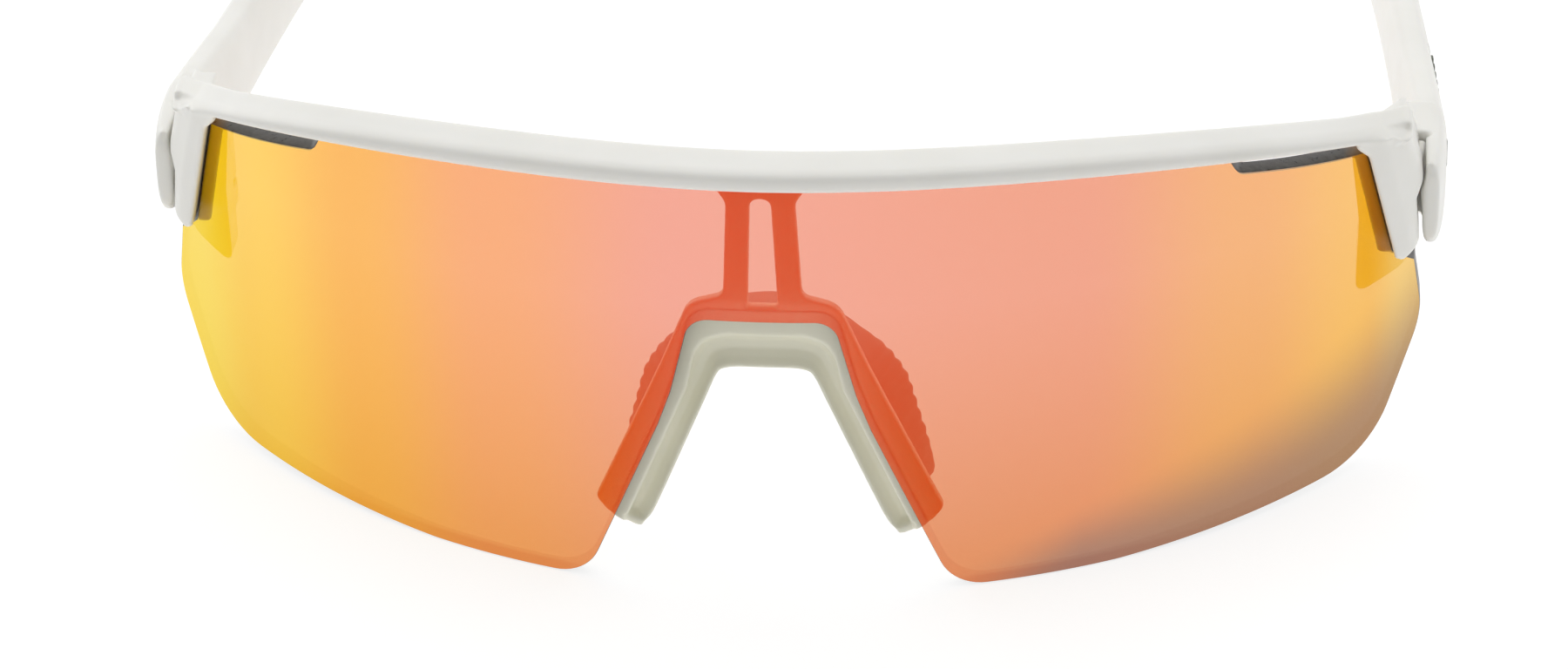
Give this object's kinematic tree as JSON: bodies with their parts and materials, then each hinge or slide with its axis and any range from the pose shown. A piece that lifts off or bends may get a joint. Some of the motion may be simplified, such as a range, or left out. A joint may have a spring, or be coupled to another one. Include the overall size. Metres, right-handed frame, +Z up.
{
  "type": "wraparound sport sunglasses",
  "caption": "Half-rim sport sunglasses: curved one-piece mirrored shield lens under a white brow bar, clip-in nose piece with rubber saddle, folding arms with rubber ear grips.",
  "frame": {"origin": "middle of the glasses' box on the surface that they stand on, with the arms open", "axes": "+X to the wearer's left, -Y the way the wearer looks, +Z up"},
  "size_m": [0.1476, 0.1668, 0.0535],
  "materials": {
    "frame": "satin warm white nylon",
    "lens": "orange-pink mirror coating that turns yellow at both ends, on tinted polycarbonate",
    "clip": "satin grey-white nylon",
    "saddle": "matte soft rubber",
    "arm": "satin warm white nylon",
    "grip": "matte soft rubber",
    "badge": "satin grey-green with raised ribs",
    "screw": "turned stainless steel",
    "insert": "knurled brass",
    "washer": "dark nylon",
    "core": "plain steel wire"
  },
  "bodies": {
    "front": {"front_frame": "frame", "lens": "lens", "nose_bridge": "clip", "nose_saddle": "saddle", "hinge_block_left": "frame", "hinge_block_right": "frame", "block_screws": "screw", "hinge_screws": "screw", "hinge_inserts": "insert", "hinge_washers": "washer"},
    "temple_left": {"temple_arm_left": "arm", "temple_badge_left": "badge", "tip_core_left": "core", "ear_grip_left": "grip"},
    "temple_right": {"temple_arm_right": "arm", "temple_badge_right": "badge", "tip_core_right": "core", "ear_grip_right": "grip"}
  },
  "joints": [
    {"name": "left_fold", "type": "hinge", "parent": "front", "child": "temple_left", "pos_m": [0.0678, -0.03605, 0.03], "axis": [0, 0, 1], "range_deg": [0, 90]},
    {"name": "right_fold", "type": "hinge", "parent": "front", "child": "temple_right", "pos_m": [-0.0678, -0.03605, 0.03], "axis": [0, 0, -1], "range_deg": [0, 82]}
  ]
}
